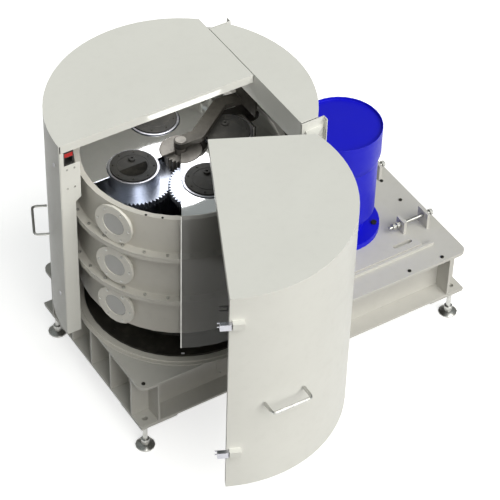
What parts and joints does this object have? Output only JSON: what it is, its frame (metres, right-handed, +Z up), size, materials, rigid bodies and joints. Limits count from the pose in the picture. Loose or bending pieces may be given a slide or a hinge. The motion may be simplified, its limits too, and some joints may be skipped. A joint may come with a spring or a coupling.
{
  "type": "planetary drum machine",
  "caption": "Enclosed planetary drum machine: geared barrels turn in a stacked drum behind two curved guard doors, beside a belt-drive motor on a welded base with levelling feet.",
  "frame": {"origin": "centre of the bounding box on the floor, with the front door standing open", "axes": "+X from the drum towards the motor, +Y away from the open front door, +Z up"},
  "size_m": [1.9776, 1.8816, 1.568],
  "materials": {
    "light_paint": "satin powder coat",
    "guard_paint": "satin powder coat",
    "drum_paint": "satin enamel",
    "black_coat": "black satin coating",
    "dark_steel": "oiled, dark",
    "steel": "brushed",
    "bright_steel": "bright plated",
    "gear_steel": "ground and polished",
    "cap_coat": "dark grey satin",
    "mirror_polish": "mirror polished",
    "blue_paint": "gloss enamel",
    "clear_tint": "clear grey tint",
    "window_glass": "frosted clear",
    "belt_rubber": "matt",
    "black_plastic": "satin moulded"
  },
  "bodies": {
    "base": {"base_plate": "light_paint", "bottom_flange": "light_paint", "front_web": "light_paint", "back_web": "light_paint", "left_web": "light_paint", "right_web": "light_paint", "foot_1": "steel", "foot_2": "steel", "foot_3": "steel", "foot_4": "steel", "base_ring": "drum_paint", "shaft_bearing": "dark_steel", "fixed_guard_wall": "guard_paint", "fixed_guard_roof": "guard_paint", "hinge_post_front": "guard_paint", "hinge_post_back": "guard_paint", "support_arm": "dark_steel", "centre_post": "dark_steel", "sun_gear": "dark_steel", "drive_belt": "belt_rubber", "shield": "clear_tint"},
    "drum": {"turntable": "black_coat", "drum_hub": "black_coat", "drum_shaft": "steel", "lower_housing": "drum_paint", "middle_housing": "drum_paint", "upper_housing": "drum_paint", "top_cover": "mirror_polish", "centre_disc": "dark_steel", "sight_window_1": "drum_paint", "sight_window_2": "drum_paint", "sight_window_3": "drum_paint", "sight_glass_1": "window_glass", "sight_glass_2": "window_glass", "sight_glass_3": "window_glass"},
    "back_door": {"back_door_wall": "guard_paint", "back_door_roof": "guard_paint", "back_door_post": "guard_paint", "back_handle": "steel", "interlock_switch": "black_plastic"},
    "front_door": {"front_door_wall": "guard_paint", "front_door_roof": "guard_paint", "front_handle": "steel", "interlock_tongue": "black_plastic"},
    "latch_lower_arm": {"latch_lower": "bright_steel"},
    "latch_upper_arm": {"latch_upper": "bright_steel"},
    "motor_carriage": {"slide_plate": "light_paint", "motor_body": "blue_paint", "motor_cowl": "blue_paint", "tension_bolt_front": "steel", "tension_bolt_back": "steel"},
    "motor_rotor": {"motor_shaft": "steel"},
    "satellite_1": {"barrel_1": "gear_steel", "barrel_cap_1": "cap_coat"},
    "satellite_2": {"barrel_2": "gear_steel", "barrel_cap_2": "cap_coat"},
    "satellite_3": {"barrel_3": "gear_steel", "barrel_cap_3": "cap_coat"},
    "satellite_4": {"barrel_4": "gear_steel", "barrel_cap_4": "cap_coat"}
  },
  "joints": [
    {"name": "drum_spin", "type": "hinge", "parent": "base", "child": "drum", "pos_m": [-0.34021, 0.34112, 0.43], "axis": [0, 0, 1], "continuous": true},
    {"name": "satellite_1_spin", "type": "hinge", "parent": "drum", "child": "satellite_1", "pos_m": [-0.10021, 0.34112, 0.83], "axis": [0, 0, 1], "continuous": true},
    {"name": "satellite_2_spin", "type": "hinge", "parent": "drum", "child": "satellite_2", "pos_m": [-0.34021, 0.58112, 0.83], "axis": [0, 0, 1], "continuous": true},
    {"name": "satellite_3_spin", "type": "hinge", "parent": "drum", "child": "satellite_3", "pos_m": [-0.58022, 0.34112, 0.83], "axis": [0, 0, 1], "continuous": true},
    {"name": "satellite_4_spin", "type": "hinge", "parent": "drum", "child": "satellite_4", "pos_m": [-0.34021, 0.10112, 0.83], "axis": [0, 0, 1], "continuous": true},
    {"name": "back_door_swing", "type": "hinge", "parent": "base", "child": "back_door", "pos_m": [0.04748, 0.79672, 1], "axis": [0, 0, 1], "range_deg": [-95, 0]},
    {"name": "front_door_swing", "type": "hinge", "parent": "base", "child": "front_door", "pos_m": [0.04748, -0.11448, 1], "axis": [0, 0, 1], "range_deg": [-64.13, 30]},
    {"name": "latch_lower_swing", "type": "hinge", "parent": "front_door", "child": "latch_lower_arm", "pos_m": [-0.7961, -0.81976, 0.662], "axis": [0, 0, 1], "range_deg": [0, 85]},
    {"name": "latch_upper_swing", "type": "hinge", "parent": "front_door", "child": "latch_upper_arm", "pos_m": [-0.7961, -0.81976, 1.43], "axis": [0, 0, 1], "range_deg": [0, 85]},
    {"name": "motor_slide", "type": "slide", "parent": "base", "child": "motor_carriage", "axis": [1, 0, 0], "range_m": [-0.02, 0]},
    {"name": "motor_spin", "type": "hinge", "parent": "motor_carriage", "child": "motor_rotor", "pos_m": [0.52678, 0.34112, 0.37], "axis": [0, 0, 1], "continuous": true}
  ],
  "couplings": [
    {"joint": "satellite_1_spin", "follows": "drum_spin", "ratio": 0.4},
    {"joint": "satellite_2_spin", "follows": "drum_spin", "ratio": 0.4},
    {"joint": "satellite_3_spin", "follows": "drum_spin", "ratio": 0.4},
    {"joint": "satellite_4_spin", "follows": "drum_spin", "ratio": 0.4},
    {"joint": "motor_spin", "follows": "drum_spin", "ratio": 3.0667}
  ]
}
